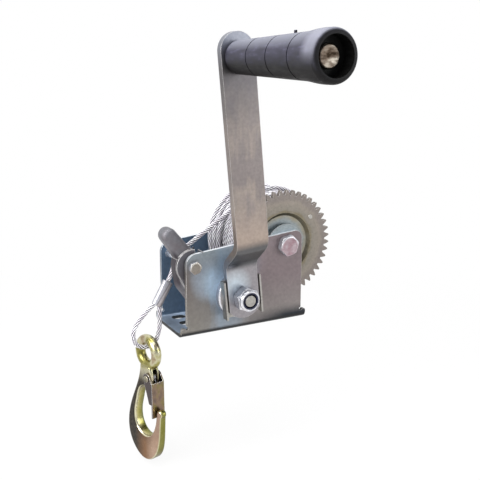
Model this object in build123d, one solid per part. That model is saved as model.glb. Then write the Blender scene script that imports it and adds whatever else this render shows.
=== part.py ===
from build123d import *
import math
import os

# A hand winch for wire rope. Lengths are in millimetres and angles in degrees.
# +Z is up, +X runs from the rope end to the drum end, and the crank is on the -Y side.
# The origin is the middle of the mounting slots, on the underside of the base.

# Frame: one steel sheet bent into a U
frame_length = 114.0
frame_width = 58.0
sheet = 3.0
bend_radius = 2.5
rope_end_height = 72.0
drum_end_height = 83.5
rope_end_corner = 10.0
drum_end_corner = 7.0
base_overhang = 5.0
lip_height = 8.5
lip_corner = 2.0
relief_diameter = 3.0
slot_length = 13.0
slot_width = 9.0
slot_spacing_x = 90.0
slot_spacing_y = 34.0

# Gear and pinion
gear_teeth = 44
pinion_teeth = 16
gear_module = 2.1
pressure_angle = 25.0
backlash = 0.25
gear_thickness = 4.0
gear_to_plate = 1.8
dish_radius = 28.0
dish_depth = 3.0
pinion_width = 9.0
pinion_to_plate = 0.6

# Drum and its axle
drum_from_end = 16.0
drum_from_top = 12.7
axle_diameter = 10.0
axle_head_flats = 17.0
axle_head_height = 6.4
axle_nut_height = 10.0
sleeve_diameter = 16.0
barrel_diameter = 34.0
barrel_wall = 3.0
drum_bush_length = 8.0
thrust_washer_diameter = 36.0
thrust_washer_thickness = 1.4
flange_radius = 46.0
flange_thickness = 2.0
flange_to_plate = 1.7
anchor_radius = 35.2
anchor_angle = 38.4
anchor_rivet_diameter = 3.2
anchor_rivet_head = 4.4
anchor_head_height = 0.7
anchor_clip_length = 14.0
anchor_clip_width = 9.0
anchor_clip_thickness = 1.5

# Pinion shaft and its bushes
mesh_angle = 36.9
shaft_diameter = 16.0
front_journal_diameter = 18.0
rear_journal_diameter = 12.0
bush_wall = 2.0
front_flange_diameter = 40.0
front_flange_thickness = 2.5
front_rim_height = 3.2
front_rim_room = 1.5
front_rim_round = 1.6
rear_flange_diameter = 24.0
rear_flange_thickness = 2.0
shaft_clip_diameter = 18.0
shaft_clip_thickness = 1.2
shaft_groove_depth = 1.0
shaft_tail = 2.5

# Crank
crank_lean = -5.25
crank_length = 200.0
crank_width = 29.0
crank_thickness = 6.0
crank_offset = 24.3
crank_crown = 4.8
crank_lug_radius = 18.0
lower_bend_height = 31.2
upper_bend_height = 50.2
crank_bend_radius = 14.0
spacer_diameter = 26.0
spacer_length = 5.0
driver_sheet = 1.6
driver_gap = 1.6
driver_height = 34.0
driver_depth = 6.0
thread_diameter = 12.0
thread_end_bevel = 1.4
drive_flats = 10.0
crank_nut_flats = 19.0
crank_nut_height = 12.0
nut_collar_height = 3.2
nut_collar_share = 0.485
nut_ring_share = 1.22

# Handle grip
grip_length = 127.0
grip_inner_diameter = 25.0
grip_neck_diameter = 31.5
grip_outer_diameter = 34.6
grip_rim_length = 13.0
grip_flare_length = 14.0
grip_rim_radius = 3.5
grip_flare_radius = 90.0
grip_end_radius = 3.0
grip_groove_pitch = 29.0
grip_first_groove = 36.0
grip_groove_width = 1.2
grip_groove_depth = 0.4
grip_recess_diameter = 26.6
stud_diameter = 12.0
stud_head_diameter = 15.8
stud_head_thickness = 3.0
stud_inset = 7.5
stud_rivet_diameter = 18.0
stud_rivet_thickness = 2.5

# Pawl
pawl_from_end = 7.6
pawl_from_top = 10.5
pawl_bolt_diameter = 6.0
pawl_head_flats = 10.0
pawl_head_height = 4.0
pawl_nut_height = 6.0
pawl_nut_collar = 1.9
pawl_sheet = 2.5
pawl_width = 17.4
pawl_edge = 4.5
pawl_cheek = 2.0
pawl_cheek_radius = 14.6
pawl_belly_x = 0.5
pawl_belly_drop = 14.0
pawl_belly_radius = 12.2
pawl_to_plate = 0.6
pawl_hub_radius = 14.1
pawl_ear_radius = 11.5
pawl_web_end = 2.5
pawl_release = 7.0
pawl_nose_width = 1.8
pawl_nose_wedge = 14.0
pawl_nose_entry = 3.4
pawl_nose_base = 5.5
pawl_finger_angle = 124.0
pawl_finger_reach = 32.7
pawl_finger_radius = 6.6
pawl_finger_root = 8.4
pawl_root_x = 2.0
spring_wire = 1.2
spring_turns = 8

# Wire rope
rope_diameter = 4.0
winding_radius = 45.0
winding_front_radius = 43.2
winding_under_radius = 41.5
winding_to_gear = 2.0
winding_turns = 7
slack_turns = 2
slack_radius = 45.0
slack_shift = 6.5
slack_angle = 156.0
rope_leave_angle = 124.2
ferrule_length = 23.0
ferrule_width = 9.6
ferrule_thickness = 6.4
ferrule_slope = 60.4
ferrule_top_x = -61.5
ferrule_top_z = 43.5
rope_straight = 9.0
rope_corner_room = 1.3
rope_corner_angle = 143.0
rope_bolt_bend = 14.0
eye_grip = 1.5

# Hook
hook_turn = 15.0
hook_x = -81.6
hook_eye_z = -18.1
hook_eye_radius = 11.6
hook_eye_bar = 4.4
hook_thickness = 10.0
hook_edge = 2.2
hook_taper_from = 4.0
hook_tip_s = 19.5
hook_tip_thickness = 4.8
latch_pin_s = 5.0
latch_pin_drop = 22.0
latch_pin_diameter = 4.0
latch_sheet = 1.2
latch_face_s = 11.4
latch_face_top = 25.0
latch_face_bottom = 57.5
latch_ear_radius = 4.8
latch_ear_bottom = 45.0
latch_ear_depth = 3.5
latch_side_gap = 0.5
latch_spring_wire = 0.9
latch_spring_turns = 4
latch_slot_radius = 8.5
latch_slot_width = 4.6

# Clearances
coil_closeness = 0.94
running_gap = 0.05
hole_gap = 0.2
face_gap = 0.3

# Places worked out from the sizes above
drum_x = frame_length / 2 - drum_from_end
drum_z = drum_end_height - drum_from_top
pawl_x = pawl_from_end - frame_length / 2
pawl_z = rope_end_height - pawl_from_top
front_out = -frame_width / 2
front_in = front_out + sheet
rear_out = frame_width / 2
rear_in = rear_out - sheet
gear_front = front_in + gear_to_plate
gear_back = gear_front + gear_thickness
flange_rear = rear_in - flange_to_plate
flange_front = flange_rear - flange_thickness
centre_distance = gear_module * (gear_teeth + pinion_teeth) / 2
pinion_x = drum_x - centre_distance * math.cos(math.radians(mesh_angle))
pinion_z = drum_z - centre_distance * math.sin(math.radians(mesh_angle))
pinion_tip = gear_module * (pinion_teeth + 2) / 2
spacer_front = front_out - front_flange_thickness - face_gap - spacer_length
lug_front = spacer_front - crank_thickness
arm_front = lug_front - crank_offset
crank_place = Pos(pinion_x, 0, pinion_z) * Rot(0, crank_lean, 0)
drum_place = Pos(drum_x, 0, drum_z)
pawl_place = Pos(pawl_x, 0, pawl_z)


def slab(sketch, y_from, y_to):
    """A sketch drawn as seen from the front, made solid from one Y to another."""
    return extrude(Plane.XZ.offset(-y_to) * sketch, amount=y_to - y_from)


def rod(diameter, y_from, y_to):
    """A round bar along Y on the local axis."""
    return slab(Circle(diameter / 2), y_from, y_to)


def tube(outer, inner, y_from, y_to):
    """A round tube along Y on the local axis."""
    return slab(Circle(outer / 2) - Circle(inner / 2), y_from, y_to)


def turned(points):
    """A solid turned about the local Y axis from an outline of (radius, y) points."""
    return revolve(make_face(Polyline(*points, close=True)), Axis.Y)


def hexagon(flats, y_from, y_to, turn=0):
    """A hexagonal bar along Y, with its corners turned off at both ends."""
    bar = slab(RegularPolygon(flats / math.sqrt(3), 6, rotation=turn), y_from, y_to)
    bevel = flats * 0.06
    corner = flats / math.sqrt(3)
    flat = flats * 0.475
    round_off = turned(
        [
            (0, y_from),
            (flat, y_from),
            (corner, y_from + bevel),
            (corner, y_to - bevel),
            (flat, y_to),
            (0, y_to),
        ]
    )
    return bar & round_off


def hex_bolt(shank, flats, head_height, length, seat):
    """A hex bolt along Y: its head is in front of the seat and its shank runs back from it."""
    end_bevel = shank * 0.1
    body = turned(
        [
            (0, seat - head_height / 2),
            (shank / 2, seat - head_height / 2),
            (shank / 2, seat + length - end_bevel),
            (shank / 2 - end_bevel, seat + length),
            (0, seat + length),
        ]
    )
    return hexagon(flats, seat - head_height, seat, 15) + body


def lock_nut(thread, flats, height, collar):
    """A lock nut on Y from 0 back to its height, and the nylon ring in its collar."""
    collar_radius = flats * nut_collar_share
    lip_radius = thread / 2 * nut_ring_share
    bore = thread / 2 + hole_gap
    ring_front = height - collar * 0.75
    dome = turned(
        [
            (0, height - collar - 1),
            (collar_radius, height - collar - 1),
            (collar_radius, height - collar * 0.35),
            (collar_radius - collar * 0.35, height),
            (0, height),
        ]
    )
    nut = hexagon(flats, 0, height - collar, 20) + dome
    nut -= rod(bore * 2, -1, height + 1)
    nut -= rod((lip_radius + running_gap) * 2, ring_front, height + 1)
    ring = tube(lip_radius * 2, bore * 2, ring_front, height - collar * 0.12)
    return nut, ring


def coil_spring(wire, inner, turns, y_from):
    """The closed coil of a torsion spring about Y, as turns of wire that touch."""
    pitch = wire * coil_closeness
    radius = inner / 2 + wire / 2
    rings = [Pos(radius, y_from + wire / 2 + pitch * k) * Circle(wire / 2) for k in range(turns)]
    return revolve(Sketch() + rings, Axis.Y)


def wire_leg(points, wire):
    """A straight-run leg of spring wire through the given points."""
    path = Polyline(*points)
    start = Plane(origin=path @ 0, z_dir=path % 0)
    return sweep(start * Circle(wire / 2), path, transition=Transition.RIGHT)


def polar(radius, angle):
    """A point at a radius and an angle in degrees."""
    return (radius * math.cos(math.radians(angle)), radius * math.sin(math.radians(angle)))


def involute(base, radius):
    """The involute angle, in degrees, at a radius outside the base circle."""
    slope = math.acos(min(1.0, base / radius))
    return math.degrees(math.tan(slope) - slope)


def gear_outline(teeth, first_tooth):
    """A spur gear's outline, with the middle of one tooth at the given angle."""
    pitch = gear_module * teeth / 2
    base = pitch * math.cos(math.radians(pressure_angle))
    root = pitch - 1.25 * gear_module
    tip = pitch + gear_module
    start = max(root, base)
    half_tooth = math.degrees((math.pi * gear_module / 2 - backlash / 2) / (2 * pitch))
    at_base = half_tooth + involute(base, pitch)
    radii = [start + (tip - start) * k / 4 for k in range(5)]
    edges = []
    for tooth in range(teeth):
        middle = first_tooth + 360 / teeth * tooth
        rising = [polar(r, middle - at_base + involute(base, r)) for r in radii]
        falling = [polar(r, middle + at_base - involute(base, r)) for r in reversed(radii)]
        root_in = polar(root, middle - at_base + involute(base, start))
        root_out = polar(root, middle + at_base - involute(base, start))
        next_root = polar(root, middle + 360 / teeth - at_base + involute(base, start))
        if root < start:
            edges.append(Line(root_in, rising[0]))
        edges.append(Spline(*rising))
        edges.append(Line(rising[-1], falling[0]))
        edges.append(Spline(*falling))
        if root < start:
            edges.append(Line(falling[-1], root_out))
        edges.append(Line(root_out, next_root))
    return make_face(edges)


def plate_top(x):
    """The height of the side plates' sloping top edge."""
    rise = drum_end_height - rope_end_height
    return rope_end_height + rise * (x + frame_length / 2) / frame_length


def make_frame():
    """The U-shaped frame, with its bends, slots and holes."""
    half = frame_length / 2
    reach = half + base_overhang
    side = make_face(
        Polyline(
            (-reach, 0),
            (reach, 0),
            (reach, lip_height),
            (half, lip_height),
            (half, drum_end_height),
            (-half, rope_end_height),
            (-half, lip_height),
            (-reach, lip_height),
            close=True,
        )
    )
    upper = side.vertices().filter_by(lambda v: v.Y > lip_height + 1)
    side = fillet(upper.sort_by(Axis.X)[0], rope_end_corner)
    upper = side.vertices().filter_by(lambda v: v.Y > lip_height + 1)
    side = fillet(upper.sort_by(Axis.X)[-1], drum_end_corner)
    lips = side.vertices().filter_by(lambda v: abs(v.X) > half + 1 and v.Y > 1)
    side = fillet(lips, lip_corner)
    tall = drum_end_height + 1
    outer = Pos(0, tall / 2) * Rectangle(frame_width, tall)
    outer = fillet(outer.vertices().group_by(Axis.Y)[0], bend_radius + sheet)
    inner = Pos(0, sheet + tall / 2) * Rectangle(frame_width - 2 * sheet, tall)
    inner = fillet(inner.vertices().group_by(Axis.Y)[0], bend_radius)
    channel = extrude(Plane.YZ * (outer - inner), amount=reach, both=True)
    frame = channel & slab(side, front_out, rear_out)
    for x in (-half, half):
        frame -= Pos(x, 0, lip_height) * rod(relief_diameter, front_out - 1, rear_out + 1)
    slot = extrude(SlotOverall(slot_length, slot_width), amount=2 * sheet, both=True)
    for x in (-slot_spacing_x / 2, slot_spacing_x / 2):
        for y in (-slot_spacing_y / 2, 0, slot_spacing_y / 2):
            frame -= Pos(x, y, 0) * slot
    axle_hole = axle_diameter + 2 * hole_gap
    pawl_hole = pawl_bolt_diameter + 2 * hole_gap
    front_bush_hole = front_journal_diameter + 2 * bush_wall + 2 * running_gap
    rear_bush_hole = rear_journal_diameter + 2 * bush_wall + 2 * running_gap
    frame -= drum_place * rod(axle_hole, front_out - 1, rear_out + 1)
    frame -= pawl_place * rod(pawl_hole, front_out - 1, rear_out + 1)
    frame -= Pos(pinion_x, 0, pinion_z) * rod(front_bush_hole, front_out - 1, front_in + 1)
    frame -= Pos(pinion_x, 0, pinion_z) * rod(rear_bush_hole, rear_in - 1, rear_out + 1)
    return frame


def make_gear_wheel():
    """The stamped gear wheel: a toothed rim with its middle pressed in towards the drum."""
    bore = barrel_diameter / 2 + running_gap
    ramp = dish_depth
    inner = dish_radius - ramp
    web_radius = gear_module * gear_teeth / 2 - 2.5 * gear_module
    disc = turned(
        [
            (bore, gear_front + dish_depth),
            (inner, gear_front + dish_depth),
            (dish_radius, gear_front),
            (web_radius, gear_front),
            (web_radius, gear_back),
            (dish_radius, gear_back),
            (inner, gear_back + dish_depth),
            (bore, gear_back + dish_depth),
        ]
    )
    outline = gear_outline(gear_teeth, 180 + mesh_angle)
    rim = slab(outline - Circle(web_radius - 1), gear_front, gear_back)
    wheel = disc + rim
    x, z = polar(anchor_radius, anchor_angle)
    wheel -= Pos(x, 0, z) * rod(anchor_rivet_diameter + 2 * running_gap, gear_front - 1, gear_back + 1)
    return drum_place * wheel


def make_pinion_shaft():
    """The pinion shaft: rear journal, body, cut teeth, front journal, flats and thread."""
    teeth_front = front_in + pinion_to_plate
    teeth_back = teeth_front + pinion_width
    bush_front = front_out - front_flange_thickness
    nut_end = lug_front - crank_nut_height
    rear_end = rear_out + rear_flange_thickness + face_gap + shaft_clip_thickness + shaft_tail
    shaft = slab(gear_outline(pinion_teeth, mesh_angle + 180 / pinion_teeth), teeth_front, teeth_back)
    shaft += rod(shaft_diameter, teeth_back - 1, rear_in - face_gap)
    shaft += rod(rear_journal_diameter, rear_in - 1, rear_end)
    shaft += rod(front_journal_diameter, bush_front - face_gap, teeth_front + 1)
    drive = Circle(thread_diameter / 2) & Rectangle(thread_diameter, drive_flats)
    shaft += Rot(0, crank_lean, 0) * slab(drive, lug_front, bush_front)
    shaft += turned(
        [
            (0, lug_front + 0.5),
            (thread_diameter / 2, lug_front + 0.5),
            (thread_diameter / 2, nut_end + thread_end_bevel),
            (thread_diameter / 2 - thread_end_bevel, nut_end),
            (0, nut_end),
        ]
    ) & rod(thread_diameter, nut_end, lug_front)
    groove_front = rear_out + rear_flange_thickness + face_gap
    groove_back = groove_front + shaft_clip_thickness
    groove_floor = rear_journal_diameter - 2 * shaft_groove_depth
    groove = tube(rear_journal_diameter + 2, groove_floor, groove_front, groove_back)
    return Pos(pinion_x, 0, pinion_z) * (shaft - groove)


def make_shaft_clip():
    """The open retaining clip in the groove at the rear end of the pinion shaft."""
    front = rear_out + rear_flange_thickness + face_gap + running_gap
    back = front + shaft_clip_thickness - 2 * running_gap
    groove_floor = rear_journal_diameter - 2 * shaft_groove_depth
    clip = tube(shaft_clip_diameter, groove_floor + 2 * running_gap, front, back)
    mouth = Pos(0, -shaft_clip_diameter / 2) * Rectangle(groove_floor - 1, shaft_clip_diameter)
    clip -= slab(mouth, front - 1, back + 1)
    return Pos(pinion_x, 0, pinion_z) * clip


def make_crank_arm():
    """The crank arm: a flat bar set outwards by two bends, with round ends and two holes."""
    lug_middle = lug_front + crank_thickness / 2
    arm_middle = arm_front + crank_thickness / 2
    top = crank_length + crank_crown
    bottom = -crank_width
    path = FilletPolyline(
        (0, lug_middle, bottom),
        (0, lug_middle, lower_bend_height),
        (0, arm_middle, upper_bend_height),
        (0, arm_middle, top + crank_width),
        radius=crank_bend_radius,
    )
    bar = sweep(Pos(0, lug_middle, bottom) * Rectangle(crank_width, crank_thickness), path)
    plan = Pos(0, top / 2) * Rectangle(crank_width, top)
    plan += Pos(0, top) * Circle(crank_width / 2)
    plan += Circle(crank_lug_radius) & Rectangle(crank_width, 2 * crank_lug_radius)
    arm = bar & slab(plan, arm_front - 1, lug_front + crank_thickness + 1)
    drive = Circle(thread_diameter / 2 + running_gap)
    drive = drive & Rectangle(thread_diameter + 1, drive_flats + 2 * running_gap)
    arm -= slab(drive, lug_front - 1, lug_front + crank_thickness + 1)
    stud_hole = rod(stud_diameter + 2 * running_gap, arm_front - 1, arm_front + crank_thickness + 1)
    arm -= Pos(0, 0, crank_length) * stud_hole
    return crank_place * arm


def make_crank_driver():
    """The bent driver plate behind the crank's lug, with an ear along each edge of the bar."""
    back = lug_front + crank_thickness
    ear_front = back - driver_depth
    half = crank_width / 2 + driver_gap + driver_sheet
    outline = Rectangle(2 * half, driver_height)
    room = Rectangle(2 * (half - driver_sheet), driver_height + 2)
    driver = slab(outline, ear_front, back + driver_sheet) - slab(room, ear_front - 1, back)
    drive = Circle(thread_diameter / 2 + running_gap)
    drive = drive & Rectangle(thread_diameter + 1, drive_flats + 2 * running_gap)
    return crank_place * (driver - slab(drive, back - 1, back + driver_sheet + 1))


def make_grip():
    """The handle grip: a tapered moulding with shallow grooves, a flared end and a deep recess."""
    near = arm_front - face_gap
    far = arm_front - grip_length
    bore = stud_diameter / 2 + running_gap
    floor = far + stud_inset + stud_head_thickness + face_gap
    flare_end = far + grip_rim_length
    flare = flare_end + grip_flare_length
    outline = make_face(
        Polyline(
            (bore, near),
            (grip_inner_diameter / 2, near),
            (grip_neck_diameter / 2, flare),
            (grip_outer_diameter / 2, flare_end),
            (grip_outer_diameter / 2, far),
            (grip_recess_diameter / 2, far),
            (grip_recess_diameter / 2, floor),
            (bore, floor),
            close=True,
        )
    )
    rim = outline.vertices().filter_by(lambda v: v.X > grip_recess_diameter / 2 - 1 and v.Y < flare_end - 1)
    outline = fillet(rim.sort_by(Axis.X)[-1], grip_rim_radius)
    bends = outline.vertices().filter_by(lambda v: flare_end - 1 < v.Y < flare + 1)
    outline = fillet(bends, grip_flare_radius)
    start = outline.vertices().filter_by(lambda v: v.Y > near - 1)
    outline = fillet(start.sort_by(Axis.X)[-1], grip_end_radius)
    body = revolve(outline, Axis.Y)
    for k in range(3):
        y = arm_front - grip_first_groove - grip_groove_pitch * k
        share = (arm_front - y) / (arm_front - flare)
        radius = grip_inner_diameter / 2 + (grip_neck_diameter - grip_inner_diameter) / 2 * share
        middle = y - grip_groove_width / 2
        body -= tube(radius * 2 + 4, (radius - grip_groove_depth) * 2, middle, middle + grip_groove_width)
    return crank_place * Pos(0, 0, crank_length) * body


def make_grip_stud():
    """The steel stud: riveted over behind the arm, with an upset head in the grip's recess."""
    end = arm_front - grip_length + stud_inset
    back = arm_front + crank_thickness
    bevel = stud_head_thickness * 0.3
    stud = turned(
        [
            (0, end),
            (stud_head_diameter / 2 - bevel, end),
            (stud_head_diameter / 2, end + bevel),
            (stud_head_diameter / 2, end + stud_head_thickness),
            (stud_diameter / 2, end + stud_head_thickness),
            (stud_diameter / 2, back),
            (stud_rivet_diameter / 2, back),
            (stud_diameter / 2, back + stud_rivet_thickness),
            (0, back + stud_rivet_thickness),
        ]
    )
    return crank_place * Pos(0, 0, crank_length) * stud


def make_pawl():
    """The stamped pawl: a channel open towards the drum, with a nose and a tapered hollow finger."""
    front = front_in + pawl_to_plate
    back = front + pawl_width
    to_pinion = (pinion_x - pawl_x, pinion_z - pawl_z)
    released = Rot(0, 0, -pawl_release)
    base_reach = pinion_tip + pawl_nose_base + 2 * face_gap
    tip_reach = pinion_tip - pawl_nose_entry
    base_x, base_z = polar(base_reach, mesh_angle)
    nose_at = released * Pos(to_pinion[0] - base_x, to_pinion[1] - base_z)
    hub = Circle(pawl_hub_radius)
    belly = Pos(pawl_belly_x, -pawl_belly_drop) * Circle(pawl_belly_radius)
    nose_round = nose_at * Circle(pawl_nose_base)
    leaf = make_hull(hub.edges() + belly.edges() + nose_round.edges())
    tip_at = Pos(*polar(pawl_finger_reach, pawl_finger_angle))
    root_at = Pos(pawl_root_x, 0)
    root = root_at * Circle(pawl_finger_root)
    finger = make_hull(root.edges() + (tip_at * Circle(pawl_finger_radius)).edges())
    body = slab(leaf + finger, front + pawl_cheek, back)
    sides = body.faces().filter_by(Axis.Y)
    body = fillet(sides.edges(), pawl_edge)
    cheek = make_hull(Circle(pawl_cheek_radius).edges() + nose_round.edges())
    body += slab(cheek, front, front + pawl_sheet)
    inside = make_hull(
        (root_at * Circle(pawl_finger_root - pawl_sheet)).edges()
        + (tip_at * Circle(pawl_finger_radius - pawl_sheet)).edges()
    )
    body -= slab(inside, front + pawl_cheek + pawl_sheet, back - pawl_sheet)
    inner_hub = Circle(pawl_hub_radius - pawl_sheet)
    inner_nose = nose_at * Circle(pawl_nose_base - pawl_sheet)
    aside = Pos(4 * pawl_hub_radius, 0)
    room = make_hull(
        inner_hub.edges() + inner_nose.edges() + (aside * inner_hub).edges() + (aside * inner_nose).edges()
    )
    body -= slab(room, front + pawl_sheet, back - pawl_sheet)
    away = 2 * pawl_hub_radius
    trim = Pos(pawl_web_end + away / 2, away / 2 - pawl_ear_radius / 2) * Rectangle(away, away)
    body -= slab(trim - Circle(pawl_ear_radius), front - 1, back + 1)
    body -= slab(released * Pos(*to_pinion) * Circle(pinion_tip + 2 * face_gap), front - 1, back + 1)
    spread = math.tan(math.radians(pawl_nose_wedge))
    half_tip = pawl_nose_width / 2
    half_root = half_tip + (base_reach - tip_reach) * spread
    root_reach = base_reach + pawl_nose_base - pawl_sheet / 2
    wedge = make_face(
        Polyline(
            (-tip_reach, -half_tip),
            (-tip_reach, half_tip),
            (-base_reach, half_root),
            (-root_reach, 0),
            (-base_reach, -half_root),
            close=True,
        )
    )
    nose = released * Pos(*to_pinion) * Rot(0, 0, mesh_angle) * wedge
    body += slab(nose, front + pawl_sheet / 2, back - pawl_sheet / 2)
    body -= rod(pawl_bolt_diameter + 2 * running_gap, front - 1, back + 1)
    return pawl_place * body


def make_pawl_spring():
    """The pawl's torsion spring: a coil on the bolt, one leg over the front plate, one at the web."""
    start = front_in + pawl_to_plate + pawl_sheet + face_gap
    inner = pawl_bolt_diameter + 2 * face_gap
    coil = coil_spring(spring_wire, inner, spring_turns, start)
    radius = inner / 2 + spring_wire / 2
    first = start + spring_wire / 2
    last = first + spring_wire * coil_closeness * (spring_turns - 1)
    hook_x = pawl_web_end + 4 * spring_wire
    hook_z = plate_top(pawl_x + hook_x) - pawl_z + spring_wire / 2 + running_gap
    coil += wire_leg(
        [(radius, first, 0), (hook_x, first, hook_z), (hook_x, front_out - spring_wire, hook_z)],
        spring_wire,
    )
    rest_x = pawl_web_end + 3 * spring_wire
    coil += wire_leg([(radius, last, 0), (rest_x, last, pawl_hub_radius)], spring_wire)
    return pawl_place * coil


def make_rope_winding():
    """The rope wound on the drum: close turns on an under layer, and slack turns at the rear."""
    inner = barrel_diameter / 2 + face_gap
    front = gear_back + winding_to_gear
    back = flange_front - face_gap
    dish_clear = dish_radius + face_gap
    dish_back = gear_back + dish_depth + winding_to_gear
    half = rope_diameter / 2
    edges = []
    at = (winding_front_radius - half, front)
    for turn in range(winding_turns):
        reach = winding_radius if turn else winding_front_radius
        middle = front + rope_diameter * (turn + 0.5)
        after = (winding_radius - half, middle + half)
        edges.append(ThreePointArc(at, (reach, middle), after))
        at = after
    edges.append(
        Polyline(
            at,
            (winding_under_radius, at[1]),
            (winding_under_radius, back),
            (inner, back),
            (inner, dish_back),
            (dish_clear, dish_back),
            (dish_clear, front),
            (winding_front_radius - half, front),
        )
    )
    winding = revolve(make_face(edges), Axis.Y)
    room = (back - at[1]) / slack_turns
    for turn in range(slack_turns):
        shift_x, shift_z = polar(slack_shift * (turn + 1) / slack_turns, slack_angle)
        ring = Rot(90, 0, 0) * Torus(slack_radius, half)
        winding += Pos(shift_x, at[1] + room * (turn + 0.5), shift_z) * ring
    return drum_place * winding


def ferrule_plane():
    """The plane across the top of the ferrule, with its normal down the ferrule."""
    x, z = polar(1, 180 + ferrule_slope)
    return Plane(origin=(ferrule_top_x, 0, ferrule_top_z), x_dir=(z, 0, -x), z_dir=(x, 0, z))


def rope_route():
    """The free rope's points: off the drum, over the pawl bolt and down to the ferrule."""
    x, z = polar(winding_radius + rope_diameter / 2 + face_gap, rope_leave_angle)
    lift = pawl_bolt_diameter / 2 + rope_diameter / 2 + face_gap
    over_x, over_z = polar(lift + rope_corner_room, rope_corner_angle)
    above = ferrule_plane().from_local_coords((0, 0, -rope_straight))
    return [
        (drum_x + x, 0, drum_z + z),
        (pawl_x + over_x, 0, pawl_z + over_z),
        (above.X, 0, above.Z),
        (ferrule_top_x, 0, ferrule_top_z),
    ]


def cord_tube(points, radii, label):
    """A round rope along straight runs joined by tangent arcs."""
    print(label, "bend radii", [round(r, 1) for r in radii])
    path = FilletPolyline(*points, radius=radii)
    start = Plane(origin=path @ 0, z_dir=path % 0)
    solid = sweep(start * Circle(rope_diameter / 2), path)
    section = math.pi * rope_diameter**2 / 4
    share = solid.volume / section / path.length
    print(label, "length", round(path.length, 1), "volume share", round(share, 4))
    return solid


def run_radii(points):
    """For each corner of a route, the largest arc that its two runs leave room for."""
    radii = []
    for before, corner, after in zip(points, points[1:], points[2:]):
        a = Vector(*corner) - Vector(*before)
        b = Vector(*after) - Vector(*corner)
        half_turn = math.radians(a.get_angle(b)) / 2
        radii.append(0.45 * min(a.length, b.length) / math.tan(half_turn))
    return radii


def make_rope_free_end():
    """The rope from the drum over the pawl bolt to the ferrule."""
    points = rope_route()
    return cord_tube(points, [rope_bolt_bend, run_radii(points)[1]], "rope_free_end")


def make_rope_eye():
    """The rope's eye: a teardrop loop from the ferrule through the eye of the hook."""
    foot = ferrule_plane().offset(ferrule_length)
    side = rope_diameter / 2 + running_gap
    left = foot.from_local_coords((side, 0, -eye_grip))
    right = foot.from_local_coords((-side, 0, -eye_grip))
    points = [
        (left.X, 0, left.Z),
        (-85.6, 0, 16.6),
        (-95.6, 0, 3.6),
        (-94.2, 0, -8.4),
        (-86.2, 0, -13.6),
        (-76.8, 0, -12.8),
        (-71.6, 0, -3.6),
        (-69.8, 0, 9.6),
        (right.X, 0, right.Z),
    ]
    return cord_tube(points, run_radii(points), "rope_eye")


def make_ferrule():
    """The pressed oval ferrule that holds the rope's eye."""
    oval = SlotOverall(ferrule_width, ferrule_thickness)
    sleeve = extrude(ferrule_plane() * oval, amount=ferrule_length)
    return chamfer(sleeve.edges().filter_by(GeomType.CIRCLE), 0.6)


hook_place = Pos(hook_x, 0, hook_eye_z) * Rot(0, 0, hook_turn - 90)


def hook_slab(sketch, half_width):
    """A sketch in the hook's plane, made solid by a half width to each side."""
    return extrude(Plane.XZ * sketch, amount=half_width, both=True)


def make_hook():
    """The forged hook: a round eye, a curved shank, a deep bowl and a tapered tip."""
    outer = Spline(
        (-7.0, -12.0),
        (-10.5, -26.0),
        (-19.0, -44.0),
        (-26.5, -63.0),
        (-27.5, -82.0),
        (-18.0, -98.0),
        (-3.0, -103.5),
        (10.5, -96.0),
        (17.0, -80.0),
        (hook_tip_s, -56.0),
    )
    tip = ThreePointArc((hook_tip_s, -56.0), (17.6, -49.6), (13.4, -53.6))
    inner = Spline(
        (13.4, -53.6),
        (11.0, -67.0),
        (5.0, -76.5),
        (-4.0, -79.5),
        (-13.0, -75.0),
        (-17.0, -64.0),
        (-13.6, -48.0),
        (-5.0, -32.5),
        (8.5, -27.5),
        (9.6, -20.0),
        (7.0, -12.0),
    )
    shut = Line((7.0, -12.0), (-7.0, -12.0))
    outline = make_face([outer, tip, inner, shut])
    body = hook_slab(outline, hook_thickness / 2)
    half = hook_thickness / 2
    half_tip = hook_tip_thickness / 2
    reach = hook_tip_s + hook_edge
    heel = -2 * hook_tip_s
    front_bend = TangentArc((hook_taper_from, -half), (reach, -half_tip), tangent=(1, 0))
    rear_bend = TangentArc((hook_taper_from, half), (reach, half_tip), tangent=(1, 0))
    tip_end = Line(front_bend @ 1, rear_bend @ 1)
    straight = Polyline(rear_bend @ 0, (heel, half), (heel, -half), front_bend @ 0)
    taper = make_face([front_bend, tip_end, rear_bend, straight])
    body &= extrude(taper, amount=8 * hook_tip_s, both=True)
    flats = body.faces().filter_by(lambda f: abs(f.normal_at().Y) > 0.9)
    rims = flats.edges().filter_by(lambda e: e.geom_type != GeomType.LINE and e.length > 4)
    body = fillet(rims, hook_edge)
    body -= rod(2 * (hook_eye_radius - hook_eye_bar), -hook_thickness, hook_thickness)
    eye = Rot(90, 0, 0) * Torus(hook_eye_radius, hook_eye_bar)
    pin_at = Pos(latch_pin_s, 0, -latch_pin_drop)
    pin_hole = pin_at * rod(latch_pin_diameter + 2 * running_gap, -hook_thickness, hook_thickness)
    slot = pin_at * rod(2 * latch_slot_radius, -latch_slot_width / 2, latch_slot_width / 2)
    return hook_place * (body - slot + eye - pin_hole)


def latch_half_width():
    """Half the latch's outside width."""
    return hook_thickness / 2 + latch_side_gap + latch_sheet


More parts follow.
